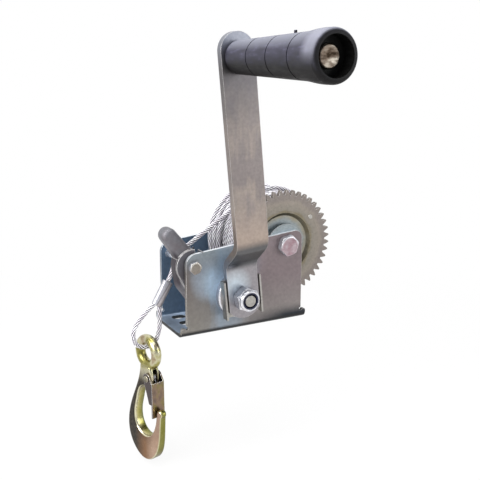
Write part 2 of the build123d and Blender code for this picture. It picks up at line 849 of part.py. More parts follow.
def make_hook_latch():
    """The pressed sheet latch: a flat face and two ears on the pin."""
    half = latch_half_width()
    pin_at = Pos(latch_pin_s, -latch_pin_drop)
    ear_points = make_face(
        Polyline(
            (latch_face_s + latch_sheet, -latch_face_top),
            (latch_face_s + latch_sheet, -latch_ear_bottom),
            (latch_face_s - latch_ear_depth, -latch_ear_bottom),
            close=True,
        )
    )
    ear = make_hull((pin_at * Circle(latch_ear_radius)).edges() + ear_points.edges())
    ears = hook_slab(ear, half) - hook_slab(ear, half - latch_sheet)
    tall = latch_face_bottom - latch_face_top
    middle = -(latch_face_top + latch_face_bottom) / 2
    face = Pos(latch_face_s + latch_sheet / 2, middle) * Rectangle(latch_sheet, tall)
    latch = ears + hook_slab(face, half)
    pin_hole = rod(latch_pin_diameter + 2 * running_gap, -2 * half, 2 * half)
    latch -= Pos(latch_pin_s, 0, -latch_pin_drop) * pin_hole
    return hook_place * latch


def make_latch_pin():
    """The latch's pin, with its ends spread outside the ears."""
    half = latch_half_width() + running_gap
    head = latch_pin_diameter * 0.75
    head_height = latch_pin_diameter * 0.2
    pin = turned(
        [
            (0, -half - head_height),
            (head, -half - head_height),
            (head, -half),
            (latch_pin_diameter / 2, -half),
            (latch_pin_diameter / 2, half),
            (head, half),
            (head, half + head_height),
            (0, half + head_height),
        ]
    )
    return hook_place * Pos(latch_pin_s, 0, -latch_pin_drop) * pin


def make_latch_spring():
    """The latch's torsion spring: a coil on the pin, in the neck's slot, and a leg behind the face."""
    inner = latch_pin_diameter + 2 * face_gap
    pitch = latch_spring_wire * coil_closeness
    start = -pitch * (latch_spring_turns - 1) / 2 - latch_spring_wire / 2
    coil = coil_spring(latch_spring_wire, inner, latch_spring_turns, start)
    radius = inner / 2 + latch_spring_wire / 2
    leg_s = latch_face_s - latch_pin_s - latch_spring_wire / 2 - running_gap
    leg_drop = latch_face_top + 2 * latch_ear_depth - latch_pin_drop
    coil += wire_leg([(radius, 0, 0), (leg_s, 0, -leg_drop / 2), (leg_s, 0, -leg_drop)], latch_spring_wire)
    return hook_place * Pos(latch_pin_s, 0, -latch_pin_drop) * coil


parts = {}
parts["frame"] = make_frame()
parts["gear_wheel"] = make_gear_wheel()
parts["drum_axle_bolt"] = drum_place * hex_bolt(
    axle_diameter, axle_head_flats, axle_head_height, frame_width + axle_nut_height, front_out
)
axle_nut, axle_nut_ring = lock_nut(axle_diameter, axle_head_flats, axle_nut_height, nut_collar_height)
parts["drum_axle_nut"] = drum_place * Pos(0, rear_out, 0) * axle_nut
sleeve_inside = axle_diameter + 2 * hole_gap
parts["drum_axle_sleeve"] = drum_place * tube(sleeve_diameter, sleeve_inside, front_in, rear_in)
sleeve_bore = sleeve_diameter + 2 * running_gap
washer_back = front_in + thrust_washer_thickness
washer_front = rear_in - thrust_washer_thickness
parts["drum_thrust_washers"] = Compound(
    children=[
        drum_place * tube(thrust_washer_diameter, sleeve_bore, front_in, washer_back),
        drum_place * tube(thrust_washer_diameter, sleeve_bore, washer_front, rear_in),
    ]
)
barrel_front = washer_back + face_gap
barrel_rear = washer_front - face_gap
barrel_bore = barrel_diameter - 2 * barrel_wall
parts["drum_barrel"] = drum_place * tube(barrel_diameter, barrel_bore, barrel_front, barrel_rear)
bush_outer = barrel_bore - 2 * running_gap
parts["drum_bushes"] = Compound(
    children=[
        drum_place * tube(bush_outer, sleeve_bore, barrel_front, barrel_front + drum_bush_length),
        drum_place * tube(bush_outer, sleeve_bore, barrel_rear - drum_bush_length, barrel_rear),
    ]
)
parts["drum_flange"] = drum_place * tube(
    2 * flange_radius, barrel_diameter + 2 * running_gap, flange_front, flange_rear
)
anchor_x, anchor_z = polar(anchor_radius, anchor_angle)
anchor_place = drum_place * Pos(anchor_x, 0, anchor_z)
rivet = rod(anchor_rivet_diameter, gear_front, gear_back + anchor_clip_thickness)
rivet += turned(
    [
        (0, gear_front - anchor_head_height),
        (anchor_rivet_head / 2 - anchor_head_height / 2, gear_front - anchor_head_height),
        (anchor_rivet_head / 2, gear_front),
        (0, gear_front),
    ]
)
parts["rope_anchor_rivet"] = anchor_place * rivet
clip_back = gear_back + anchor_clip_thickness
clip = slab(RectangleRounded(anchor_clip_length, anchor_clip_width, 2), gear_back, clip_back)
clip -= rod(anchor_rivet_diameter + 2 * running_gap, gear_back - 1, clip_back + 1)
parts["rope_anchor_clip"] = anchor_place * Rot(0, 90 - anchor_angle, 0) * clip
parts["rope_winding"] = make_rope_winding()

pinion_place = Pos(pinion_x, 0, pinion_z)
front_bush_outer = front_journal_diameter + 2 * bush_wall
front_bush_bore = front_journal_diameter + 2 * running_gap
front_bush = tube(front_bush_outer, front_bush_bore, front_out - front_flange_thickness, front_in)
front_bush += tube(front_flange_diameter, front_bush_bore, front_out - front_flange_thickness, front_out)
front_rim_front = front_out - front_flange_thickness - front_rim_height
front_rim_inner = spacer_diameter + 2 * front_rim_room
front_bush += tube(front_flange_diameter, front_rim_inner, front_rim_front, front_out)
front_rim = front_bush.edges().filter_by(GeomType.CIRCLE).filter_by(
    lambda e: abs(e.radius - front_flange_diameter / 2) < 0.01 and e.center().Y < front_out - 1
)
parts["pinion_bush_front"] = pinion_place * fillet(front_rim, front_rim_round)
rear_bush_outer = rear_journal_diameter + 2 * bush_wall
rear_bush_bore = rear_journal_diameter + 2 * running_gap
rear_bush = tube(rear_bush_outer, rear_bush_bore, rear_in, rear_out + rear_flange_thickness)
rear_bush += tube(rear_flange_diameter, rear_bush_bore, rear_out, rear_out + rear_flange_thickness)
parts["pinion_bush_rear"] = pinion_place * rear_bush
parts["pinion_shaft"] = make_pinion_shaft()
parts["shaft_clip"] = make_shaft_clip()
spacer_back = front_out - front_flange_thickness - face_gap
parts["crank_spacer"] = pinion_place * tube(
    spacer_diameter, thread_diameter + 2 * running_gap, spacer_front + driver_sheet, spacer_back
)
parts["crank_driver"] = make_crank_driver()
parts["crank_arm"] = make_crank_arm()
crank_nut, crank_ring = lock_nut(
    thread_diameter, crank_nut_flats, crank_nut_height, nut_collar_height
)
crank_nut_place = pinion_place * Pos(0, lug_front, 0) * Rot(180, 0, 0)
parts["crank_nut"] = crank_nut_place * crank_nut
parts["crank_nut_insert"] = crank_nut_place * crank_ring
parts["grip_stud"] = make_grip_stud()
parts["grip"] = make_grip()

parts["pawl"] = make_pawl()
parts["pawl_bolt"] = pawl_place * hex_bolt(
    pawl_bolt_diameter, pawl_head_flats, pawl_head_height, frame_width + pawl_nut_height, front_out
)
pawl_nut, pawl_ring = lock_nut(
    pawl_bolt_diameter, pawl_head_flats, pawl_nut_height, pawl_nut_collar
)
parts["pawl_bolt_nut"] = pawl_place * Pos(0, rear_out, 0) * pawl_nut
parts["locknut_inserts"] = Compound(
    children=[
        drum_place * Pos(0, rear_out, 0) * axle_nut_ring,
        pawl_place * Pos(0, rear_out, 0) * pawl_ring,
    ]
)
parts["pawl_spring"] = make_pawl_spring()

parts["rope_free_end"] = make_rope_free_end()
parts["rope_ferrule"] = make_ferrule()
parts["rope_eye"] = make_rope_eye()
parts["hook"] = make_hook()
parts["hook_latch"] = make_hook_latch()
parts["hook_latch_pin"] = make_latch_pin()
parts["latch_spring"] = make_latch_spring()
os.makedirs("parts", exist_ok=True)
for name, shape in parts.items():
    export_step(shape, "parts/" + name + ".step")
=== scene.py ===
import bpy
import math
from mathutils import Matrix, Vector


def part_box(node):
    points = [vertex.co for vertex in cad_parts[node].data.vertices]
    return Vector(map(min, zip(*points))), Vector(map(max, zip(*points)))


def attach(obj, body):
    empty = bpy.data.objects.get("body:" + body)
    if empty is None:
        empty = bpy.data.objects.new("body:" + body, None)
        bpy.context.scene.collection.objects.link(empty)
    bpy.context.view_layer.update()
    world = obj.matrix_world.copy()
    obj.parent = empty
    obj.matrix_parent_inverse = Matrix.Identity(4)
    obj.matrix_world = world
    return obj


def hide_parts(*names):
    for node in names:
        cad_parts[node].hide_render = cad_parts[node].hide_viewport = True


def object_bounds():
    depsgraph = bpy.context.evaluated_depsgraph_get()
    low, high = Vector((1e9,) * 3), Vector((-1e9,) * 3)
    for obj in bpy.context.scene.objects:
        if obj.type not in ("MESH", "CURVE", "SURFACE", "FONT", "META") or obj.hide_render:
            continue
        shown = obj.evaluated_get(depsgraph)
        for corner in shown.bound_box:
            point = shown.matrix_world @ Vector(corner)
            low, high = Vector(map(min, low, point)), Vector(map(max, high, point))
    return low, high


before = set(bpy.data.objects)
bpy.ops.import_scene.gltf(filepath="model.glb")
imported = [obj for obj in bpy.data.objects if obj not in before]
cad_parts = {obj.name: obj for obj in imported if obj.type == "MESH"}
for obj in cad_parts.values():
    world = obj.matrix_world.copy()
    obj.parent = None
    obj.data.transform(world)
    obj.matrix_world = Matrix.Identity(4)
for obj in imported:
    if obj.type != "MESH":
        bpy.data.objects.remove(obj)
cad_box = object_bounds()

# Frame
# One piece of 3 mm cold-rolled steel sheet, pressed into a U with slots in its base.
# It is zinc plated and blue passivated, which leaves a satin grey with drifts of blue and pink.
mm = 0.001
sheet = 3 * mm
half_length = 57 * mm
up = (0, 0, 1)
down = (0, 0, -1)
to_rope_end = (-1, 0, 0)


def linear(hex_colour):
    """An sRGB hex colour as linear red, green, blue and full alpha."""
    shares = [int(hex_colour[k : k + 2], 16) / 255 for k in (1, 3, 5)]
    light = [s / 12.92 if s <= 0.04045 else ((s + 0.055) / 1.055) ** 2.4 for s in shares]
    return (*light, 1.0)


def add_node(tree, kind, inputs=None, stops=None, **settings):
    """Adds a shader node, with its settings, its colour stops and its input values or links."""
    node = tree.nodes.new("ShaderNode" + kind)
    for name, value in settings.items():
        setattr(node, name, value)
    for name, value in (inputs or {}).items():
        if isinstance(value, bpy.types.NodeSocket):
            tree.links.new(value, node.inputs[name])
        else:
            node.inputs[name].default_value = value
    for count, (position, colour) in enumerate(stops or []):
        elements = node.color_ramp.elements
        element = elements[count] if count < 2 else elements.new(position)
        element.position = position
        element.color = linear(colour)
    return node


def new_material(name):
    """An empty material: its node tree, its surface shader and its object coordinates."""
    material = bpy.data.materials.new(name)
    material.use_nodes = True
    tree = material.node_tree
    shader = tree.nodes["Principled BSDF"]
    place = add_node(tree, "TexCoord").outputs["Object"]
    return material, tree, shader, place


def grain(tree, place, size, stretch=(1, 1, 1), detail=3.0):
    """Noise in patches of about the given size, drawn out along an axis by a smaller stretch."""
    scaled = add_node(tree, "Mapping", {"Vector": place, "Scale": stretch}).outputs["Vector"]
    noise = add_node(tree, "TexNoise", {"Vector": scaled, "Scale": 1 / size, "Detail": detail})
    return noise.outputs["Fac"]


def zone(tree, place, axis, start, full):
    """How far a point lies along an axis: 0 at start, 1 at full."""
    reach = add_node(tree, "SeparateXYZ", {"Vector": place}).outputs[axis]
    share = add_node(tree, "MapRange", {"Value": reach, "From Min": start, "From Max": full})
    return share.outputs["Result"]


def from_axis(tree, place, centre, start, full):
    """How far a point lies from an axis along Y: 0 at the radius start, 1 at the radius full."""
    centred = (-centre.x, 0, -centre.z)
    flat = add_node(
        tree, "Mapping", {"Vector": place, "Location": centred, "Scale": (1, 0, 1)}
    ).outputs["Vector"]
    away = add_node(tree, "VectorMath", {0: flat}, operation="LENGTH").outputs["Value"]
    share = add_node(tree, "MapRange", {"Value": away, "From Min": start, "From Max": full})
    return share.outputs["Result"]


def facing(tree, direction, start, full):
    """How far a surface faces a direction of its own object: 0 at start, 1 at full."""
    normal = add_node(tree, "TexCoord").outputs["Normal"]
    towards = add_node(
        tree, "VectorMath", {0: normal, 1: direction}, operation="DOT_PRODUCT"
    ).outputs["Value"]
    share = add_node(tree, "MapRange", {"Value": towards, "From Min": start, "From Max": full})
    return share.outputs["Result"]


def tinted(tree, tone, colour, *shares, most=1.0):
    """A tone changed into a colour where all the shares hold, by the given share at most."""
    for share in shares:
        most = add_node(tree, "Math", {0: most, 1: share}, operation="MULTIPLY").outputs[0]
    mix = add_node(tree, "MixRGB", {"Fac": most, "Color1": tone, "Color2": linear(colour)})
    return mix.outputs["Color"]


def metal_surface(
    tree, shader, place, tone, grit, roughness, bump, edge, wear_and_glint, stretch=(1, 1, 1), metallic=1.0
):
    """A metal's surface: a mottled tone, fine grit, uneven gloss and slightly round edges, which
    are painted bright as scuffed bare metal and as a painted glint.

    The grit of real plating is finer. It is drawn as coarse as it needs to show.
    """
    fine = grain(tree, place, grit, stretch, detail=4.0)
    patches = grain(tree, place, size=14 * mm)
    uneven = add_node(tree, "Math", {0: fine, 1: patches}, operation="MULTIPLY").outputs[0]
    smooth, rough = roughness
    gloss = add_node(
        tree,
        "MapRange",
        {"Value": uneven, "From Min": 0.1, "From Max": 0.45, "To Min": smooth, "To Max": rough},
    ).outputs["Result"]
    rounded = add_node(tree, "Bevel", {"Radius": edge}, samples=6).outputs["Normal"]
    flat = add_node(tree, "NewGeometry").outputs["Normal"]
    turned = add_node(
        tree, "VectorMath", {0: rounded, 1: flat}, operation="DOT_PRODUCT"
    ).outputs["Value"]
    worn_and_glinting = add_node(
        tree, "MapRange", {"Value": turned, "From Min": 0.99, "From Max": 0.86}
    ).outputs["Result"]
    mottle = grain(tree, place, size=5 * grit, detail=4.0)
    shade = add_node(
        tree,
        "MapRange",
        {"Value": mottle, "From Min": 0.3, "From Max": 0.7, "To Min": 0.9, "To Max": 1.08},
    ).outputs["Result"]
    tone = add_node(
        tree, "MixRGB", {"Fac": 1.0, "Color1": tone, "Color2": shade}, blend_type="MULTIPLY"
    ).outputs["Color"]
    # Edges painted bright: partly scuffed bare metal, partly a painted glint.
    tone = tinted(tree, tone, "#dcdad8", worn_and_glinting, most=wear_and_glint)
    relief = add_node(
        tree, "Bump", {"Height": fine, "Strength": bump, "Distance": 0.1 * mm, "Normal": rounded}
    ).outputs["Normal"]
    tree.links.new(tone, shader.inputs["Base Color"])
    tree.links.new(gloss, shader.inputs["Roughness"])
    tree.links.new(relief, shader.inputs["Normal"])
    shader.inputs["Metallic"].default_value = metallic


def dress(material, *names):
    """Puts a material on the named pieces of the model."""
    for name in names:
        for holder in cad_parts[name].material_slots:
            holder.material = material


# Blue-passivated zinc: satin, drifting from grey over blue to pink, with streaks from the rolls.
# Inside the U it is bluer and darker, partly from the plating and partly as painted shade. Painted
# light lies beside the crank, on the upper part by the pawl, along the top edges and on the base's
# top, and painted shade darkens the slots, the underside, the base's end and the lower lip at the
# drum end.
zinc_sheet, tree, shader, place = new_material("zinc_plated_rolled_sheet")
drift_weight = 0.5
streak_weight = 0.1
drift = grain(tree, place, size=32 * mm, stretch=(1, 1, 0.6))
streaks = grain(tree, place, size=4 * mm, stretch=(1, 1, 0.05))
along = zone(tree, place, "X", -half_length, half_length)
drifted = add_node(
    tree, "Math", {0: drift, 1: drift_weight, 2: along}, operation="MULTIPLY_ADD"
).outputs[0]
drifted = add_node(
    tree, "Math", {0: streaks, 1: streak_weight, 2: drifted}, operation="MULTIPLY_ADD"
).outputs[0]
tone = add_node(
    tree,
    "ValToRGB",
    {"Fac": drifted},
    [
        (0.30, "#6a635f"),
        (0.44, "#6e6a6a"),
        (0.58, "#8298b0"),
        (0.78, "#7f8089"),
        (0.94, "#7f7376"),
        (1.0, "#7c7072"),
    ],
).outputs["Color"]
lower_half = zone(tree, place, "Z", 45 * mm, 10 * mm)
tone = tinted(tree, tone, "#8b8983", lower_half, most=0.5)
# A painted pool of light, pale blue, on the front plate beside the crank, where the arm's shadow
# falls.
beside_crank = Vector((-30, 0, 50)) * mm
painted_light_patch = from_axis(tree, place, beside_crank, 25 * mm, 4 * mm)
# The drift is about a half, so that 1.5 of it gives about three quarters of the blue.
tone = tinted(tree, tone, "#b2c9de", painted_light_patch, drift, most=1.5)
# A painted reflection, pale blue-grey, on the upper part of the plates at the pawl's end.
pawl_half = zone(tree, place, "X", 5 * mm, -20 * mm)
upper_part = zone(tree, place, "Z", 58 * mm, 74 * mm)
tone = tinted(tree, tone, "#a3b4be", pawl_half, upper_part, most=0.6)
# Painted shade, nearly black, on the lower lip and bend at the drum's end.
lower_lip = zone(tree, place, "Z", 15 * mm, 6 * mm)
drum_half = zone(tree, place, "X", -5 * mm, 40 * mm)
tone = tinted(tree, tone, "#22272f", lower_lip, drum_half, most=0.97)
# Bluer and darker inside the U: partly the plating's own blue, partly painted shade.
behind_front = zone(tree, place, "Y", -24 * mm, -14 * mm)
before_rear = zone(tree, place, "Y", 28.5 * mm, 27 * mm)
inside = add_node(
    tree, "Math", {0: behind_front, 1: before_rear}, operation="MULTIPLY"
).outputs[0]
tone = tinted(tree, tone, "#566a80", inside)
# A painted highlight on the upward face of the base inside the U, weaker towards the rope end.
lit_base_top = facing(tree, up, 0.6, 0.9)
tone = tinted(tree, tone, "#b4c6dd", inside, lit_base_top)
rope_end = zone(tree, place, "X", -40 * mm, -54 * mm)
tone = tinted(tree, tone, "#7b8796", inside, lit_base_top, rope_end, most=0.9)
# Painted shade, nearly black, on the underside and on the bend below the plates.
underside = facing(tree, down, 0.0, 0.35)
tone = tinted(tree, tone, "#131416", underside, most=0.95)
# Painted shade, nearly black, on the end face of the base at the rope end.
lowest = zone(tree, place, "Z", 2.4 * mm, 2.0 * mm)
shaded_base_end = facing(tree, to_rope_end, 0.5, 0.9)
tone = tinted(tree, tone, "#131416", lowest, shaded_base_end, most=0.95)
# A painted highlight, near white, along the top edges of the plates.
plate_top = zone(tree, place, "Z", 60 * mm, 66 * mm)
lit_top_edge = facing(tree, up, 0.4, 0.8)
tone = tinted(tree, tone, "#e6ecf2", plate_top, lit_top_edge, most=0.9)
# Painted shade, nearly black, on the walls of the slots in the base.
in_base = zone(tree, place, "Z", sheet + 0.3 * mm, sheet - 0.3 * mm)
shaded_slot_walls = facing(tree, up, 0.6, 0.3)
tone = tinted(tree, tone, "#14171b", in_base, shaded_slot_walls, most=0.95)
# Above the base, edges painted bright: partly scuffed bare metal, partly a painted glint.
rubbed_and_glinting = zone(tree, place, "Z", 2 * sheet, 3 * sheet)
metal_surface(
    tree,
    shader,
    place,
    tone,
    grit=0.5 * mm,
    roughness=(0.36, 0.52),
    bump=0.1,
    edge=0.5 * mm,
    wear_and_glint=rubbed_and_glinting,
    stretch=(0.15, 1, 1),
)
plating = add_node(
    tree, "MapRange", {"Value": inside, "To Min": 0.55, "To Max": 0.4}
).outputs["Result"]
tree.links.new(plating, shader.inputs["Metallic"])
dress(zinc_sheet, "frame")

# Drum axle
# An M10 hex bolt through both plates, with a spacer tube, two thrust washers and a lock nut.
# The bolts are pink passivated, and the lock nuts hold a ring of dark blue nylon.
to_front = (0, -1, 0)
drum_low, drum_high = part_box("drum_flange")
drum_axis = (drum_low + drum_high) / 2
bolt_low, bolt_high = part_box("pawl_bolt")
pawl_axis = (bolt_low + bolt_high) / 2


def drifting(tree, place, stops, size, stretch=(1, 1, 1), detail=3.0):
    """A colour that drifts between its stops, in patches of about the given size."""
    share = grain(tree, place, size, stretch, detail)
    return add_node(tree, "ValToRGB", {"Fac": share}, stops).outputs["Color"]


# Pink-passivated zinc: bright, pink on the drum bolt's head, with a painted silver reflection on
# the sides and a painted highlight on its upper rim. The head of the pawl bolt is darker and
# browner on its face, with a painted highlight on its upper rim.
bolt_zinc, tree, shader, place = new_material("pink_passivated_zinc_bolt")
bolt_pinks = [(0.32, "#b7a9ae"), (0.5, "#a58d94"), (0.68, "#9d7f87")]
tone = drifting(tree, place, bolt_pinks, size=7 * mm, detail=2.0)
# A painted reflection, silver, on the sides that do not face the front.
head_sides = facing(tree, to_front, 0.9, 0.7)
tone = tinted(tree, tone, "#cbd0d8", head_sides, most=0.9)
head_face = facing(tree, to_front, 0.7, 0.9)
# A painted highlight, near white, on the upper rim of the drum bolt's head.
drum_end = zone(tree, place, "X", 10 * mm, 20 * mm)
drum_rim = from_axis(tree, place, drum_axis, 7.0 * mm, 7.8 * mm)
drum_top = zone(tree, place, "Z", drum_axis.z - 3 * mm, drum_axis.z + 4 * mm)
tone = tinted(tree, tone, "#eef1f6", drum_end, head_face, drum_rim, drum_top, most=0.75)
pawl_end = zone(tree, place, "X", -10 * mm, -20 * mm)
pawl_rim = from_axis(tree, place, pawl_axis, 3.7 * mm, 4.3 * mm)
pawl_top = zone(tree, place, "Z", pawl_axis.z - 3 * mm, pawl_axis.z + 3 * mm)
# Darker and browner on the face of the pawl bolt's head.
tone = tinted(tree, tone, "#837e74", pawl_end, head_face, most=0.9)
# A painted highlight on the upper rim of the pawl bolt's head.
tone = tinted(tree, tone, "#e0ddd6", pawl_end, head_face, pawl_rim, pawl_top, most=0.75)
metal_surface(
    tree,
    shader,
    place,
    tone,
    grit=0.4 * mm,
    roughness=(0.2, 0.34),
    bump=0.12,
    edge=0.6 * mm,
    wear_and_glint=0.9,
    metallic=0.8,
)
dress(bolt_zinc, "drum_axle_bolt", "drum_axle_nut")

# Bright zinc: smooth and silvery, as barrel-plated small parts are, with painted shade making their
# sides greyer.
bright_zinc, tree, shader, place = new_material("bright_zinc_plated_small_parts")
bright_silvers = [(0.35, "#c9cad2"), (0.5, "#dcdce2"), (0.65, "#c6c2c4")]
tone = drifting(tree, place, bright_silvers, size=6 * mm, detail=2.0)
# Painted shade: the sides, turned away from the front, are greyer.
sides = facing(tree, to_front, 0.35, 0.05)
tone = tinted(tree, tone, "#868a95", sides, most=0.75)
metal_surface(
    tree,
    shader,
    place,
    tone,
    grit=0.4 * mm,
    roughness=(0.16, 0.28),
    bump=0.05,
    edge=0.4 * mm,
    wear_and_glint=0.9,
    metallic=0.75,
)

# Turned steel: bare, with fine rings from the lathe and a faintly warm grey.
turned_steel, tree, shader, place = new_material("bare_turned_steel")
turned_greys = [(0.3, "#a29f9a"), (0.55, "#b4b1ab"), (0.75, "#8d8a85")]
turned_patch = 2.5 * mm
turned_finish = {
    "grit": 0.35 * mm,
    "roughness": (0.26, 0.5),
    "bump": 0.3,
    "edge": 0.3 * mm,
    "stretch": (1, 0.1, 1),
}
tone = drifting(tree, place, turned_greys, turned_patch)
metal_surface(tree, shader, place, tone, wear_and_glint=0.3, **turned_finish)
dress(turned_steel, "drum_axle_sleeve")

# Nylon 6: moulded, dark blue, with a soft shine.
nylon, tree, shader, place = new_material("moulded_blue_nylon")
nylon_blues = [(0.3, "#12152b"), (0.7, "#1d2346")]
tone = drifting(tree, place, nylon_blues, size=1.5 * mm)
tree.links.new(tone, shader.inputs["Base Color"])
shader.inputs["Roughness"].default_value = 0.32
shader.inputs["IOR"].default_value = 1.53
dress(nylon, "locknut_inserts", "crank_nut_insert")

# Drum
# A stamped gear wheel and a plain disc on a tube, turning on two sintered bronze bushes.
# The wheel is 4 mm sheet with a pressed centre, zinc plated over the marks of the press.
dish_radius = 28 * mm
ring_width = 16 * mm

# Zinc over stamped steel: dull and speckled, blue in the dish, with a brown ring round its edge.
zinc_gear, tree, shader, place = new_material("zinc_plated_stamped_wheel")
wander_weight = 0.2
outward = from_axis(tree, place, drum_axis, dish_radius - ring_width, dish_radius + ring_width)
wander = grain(tree, place, size=9 * mm)
ragged = add_node(
    tree, "Math", {0: wander, 1: wander_weight, 2: outward}, operation="MULTIPLY_ADD"
).outputs[0]
stain = add_node(
    tree,
    "ValToRGB",
    {"Fac": ragged},
    [
        (0.05, "#9aa5ab"),
        (0.36, "#8f9698"),
        (0.50, "#948e7e"),
        (0.60, "#7e755f"),
        (0.68, "#8b857c"),
        (0.90, "#938b82"),
        (1.0, "#88807b"),
    ],
).outputs["Color"]
specks = drifting(tree, place, [(0.32, "#8f877a"), (0.5, "#ffffff")], size=1.1 * mm, detail=5.0)
tone = add_node(
    tree, "MixRGB", {"Fac": 0.3, "Color1": stain, "Color2": specks}, blend_type="MULTIPLY"
).outputs["Color"]
metal_surface(
    tree,
    shader,
    place,
    tone,
    grit=0.6 * mm,
    roughness=(0.32, 0.54),
    bump=0.2,
    edge=0.4 * mm,
    wear_and_glint=0.8,
)
dress(zinc_gear, "gear_wheel", "drum_barrel", "drum_thrust_washers")

# Greasy steel: the plain disc and its rim are dark with the rope's grease.
greasy_steel, tree, shader, place = new_material("greasy_stamped_disc")
greasy_greys = [(0.35, "#454242"), (0.65, "#666262")]
tone = drifting(tree, place, greasy_greys, size=7 * mm)
metal_surface(
    tree,
    shader,
    place,
    tone,
    grit=0.6 * mm,
    roughness=(0.4, 0.6),
    bump=0.2,
    edge=0.4 * mm,
    wear_and_glint=0.3,
)
dress(greasy_steel, "drum_flange")

# Sintered bronze: pressed powder, so it is matt, porous and dark with oil.
bronze, tree, shader, place = new_material("sintered_bronze")
bronze_browns = [(0.35, "#5c4526"), (0.6, "#957044")]
tone = drifting(tree, place, bronze_browns, size=0.5 * mm)
metal_surface(
    tree,
    shader,
    place,
    tone,
    grit=0.3 * mm,
    roughness=(0.45, 0.65),
    bump=0.4,
    edge=0.2 * mm,
    wear_and_glint=0.1,
)
dress(bronze, "drum_bushes")
dress(turned_steel, "rope_anchor_rivet")
dress(bright_zinc, "rope_anchor_clip")

# Pinion shaft
# A turned steel shaft with cut teeth, in two flanged bushes, held by an open clip at its rear end.
# The front bush has a wide bright rim that shows beside the crank.
nut_low, nut_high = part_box("crank_nut")
shaft_axis = (nut_low + nut_high) / 2
thread_core = 4.7 * mm
dark_end_depth = 3 * mm

# Turned steel again, without bright edges, and dark blue in the thread at its front end.
shaft_steel, tree, shader, place = new_material("turned_steel_shaft")
tone = drifting(tree, place, turned_greys, turned_patch)
in_thread = from_axis(tree, place, shaft_axis, thread_core, thread_core + 0.3 * mm)
dark_end_y = nut_low.y + dark_end_depth
at_end = zone(tree, place, "Y", dark_end_y + 1 * mm, dark_end_y)
tone = tinted(tree, tone, "#171a2c", in_thread, at_end, most=0.95)
metal_surface(tree, shader, place, tone, wear_and_glint=0.0, **turned_finish)
dress(shaft_steel, "pinion_shaft")
dress(bright_zinc, "pinion_bush_front", "pinion_bush_rear", "shaft_clip", "crank_spacer")

# Crank arm
# A 29 x 6 mm flat steel bar with a double bend, zinc plated, driven by a bent plate behind its lug.
# A lock nut holds it on the shaft, and the grip's stud is riveted into its upper end.
# The centre of a painted reflection, pale blue, on the front of the lug.
lug_reflection_centre = Vector((-18, 0, 45)) * mm

# Zinc over rolled bar: warm grey with faint streaks, with a painted shadow of the grip making it
# darker towards its upper end, its top end painted lighter, a painted reflection of cold light on
# the lug and painted shade under the bends.
zinc_bar, tree, shader, place = new_material("zinc_plated_rolled_bar")
bar_streak_weight = 0.4
streaks = grain(tree, place, size=5 * mm, stretch=(1, 1, 0.06))
clouds = grain(tree, place, size=26 * mm, stretch=(1, 1, 0.7))
clouded = add_node(
    tree, "Math", {0: streaks, 1: bar_streak_weight, 2: clouds}, operation="MULTIPLY_ADD"
).outputs[0]
tone = add_node(
    tree,
    "ValToRGB",
    {"Fac": clouded},
    [(0.42, "#84807f"), (0.55, "#968c88"), (0.66, "#a0958d"), (0.80, "#8a8280")],
).outputs["Color"]
# A painted shadow of the grip, darkening the bar towards its upper end.
grip_shadow_on_bar = zone(tree, place, "Z", 150 * mm, 215 * mm)
tone = tinted(tree, tone, "#646265", grip_shadow_on_bar, most=0.9)
# Painted light on the bar's top end, above the grip's painted shadow.
lit_bar_end = zone(tree, place, "Z", 224 * mm, 246 * mm)
tone = tinted(tree, tone, "#989ba5", lit_bar_end, most=0.9)
above_bend = zone(tree, place, "Z", 118 * mm, 92 * mm)
tone = tinted(tree, tone, "#b3a296", above_bend, most=0.8)
below_bend = zone(tree, place, "Z", 76 * mm, 68 * mm)
tone = tinted(tree, tone, "#98959a", below_bend, most=0.9)
# A painted reflection, pale blue, on the front of the lug.
lug_reflection = from_axis(tree, place, lug_reflection_centre, 17 * mm, 3 * mm)
lug_front = zone(tree, place, "Y", -41 * mm, -42 * mm)
tone = tinted(tree, tone, "#d3dfe8", lug_reflection, lug_front, most=0.85)
# Painted shade on the bends where the bar faces down.
shaded_bend_underside = facing(tree, down, 0.1, 0.5)
tone = tinted(tree, tone, "#5f6062", shaded_bend_underside, most=0.95)
metal_surface(
    tree,
    shader,
    place,
    tone,
    grit=0.5 * mm,
    roughness=(0.3, 0.48),
    bump=0.1,
    edge=0.5 * mm,
    wear_and_glint=0.7,
    stretch=(1, 1, 0.12),
)
dress(zinc_bar, "crank_arm")
dress(bright_zinc, "crank_nut")
dress(turned_steel, "crank_driver")

# Upset steel: the stud's hammered end, off-white where it is struck and brown with scale between.
upset_steel, tree, shader, place = new_material("upset_steel_stud")
struck_tones = [(0.34, "#32281f"), (0.45, "#6b5e53"), (0.54, "#81776c"), (0.66, "#bdb4a7")]
tone = drifting(tree, place, struck_tones, size=4 * mm, stretch=(0.5, 1, 1.1), detail=4.0)
metal_surface(
    tree,
    shader,
    place,
    tone,
    grit=2.2 * mm,
    roughness=(0.36, 0.56),
    bump=1.0,
    edge=0.6 * mm,
    wear_and_glint=0.2,
)
dress(upset_steel, "grip_stud")

# Handle grip
# A tapered moulding of black plastic that turns on the stud, with shallow grooves round it.
# Its outer end is flared, with a deep recess round the end of the stud.
grip_low, grip_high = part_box("grip")
grip_axis = (grip_low + grip_high) / 2
recess_radius = 13.3 * mm
recess_depth = 13 * mm
flare_length = 9 * mm

# Polypropylene: moulded black with fine pores and grey scuffs, painted lighter on top, with a
# painted highlight on the flare, and painted shade below, on the end face and in the recess.
grip_plastic, tree, shader, place = new_material("moulded_black_polypropylene")
scuffs = grain(tree, place, size=3 * mm, stretch=(1, 0.3, 1), detail=6.0)
tone = add_node(
    tree,
    "ValToRGB",
    {"Fac": scuffs},
    [(0.33, "#2e2d38"), (0.55, "#3b3a47"), (0.75, "#535263")],
).outputs["Color"]
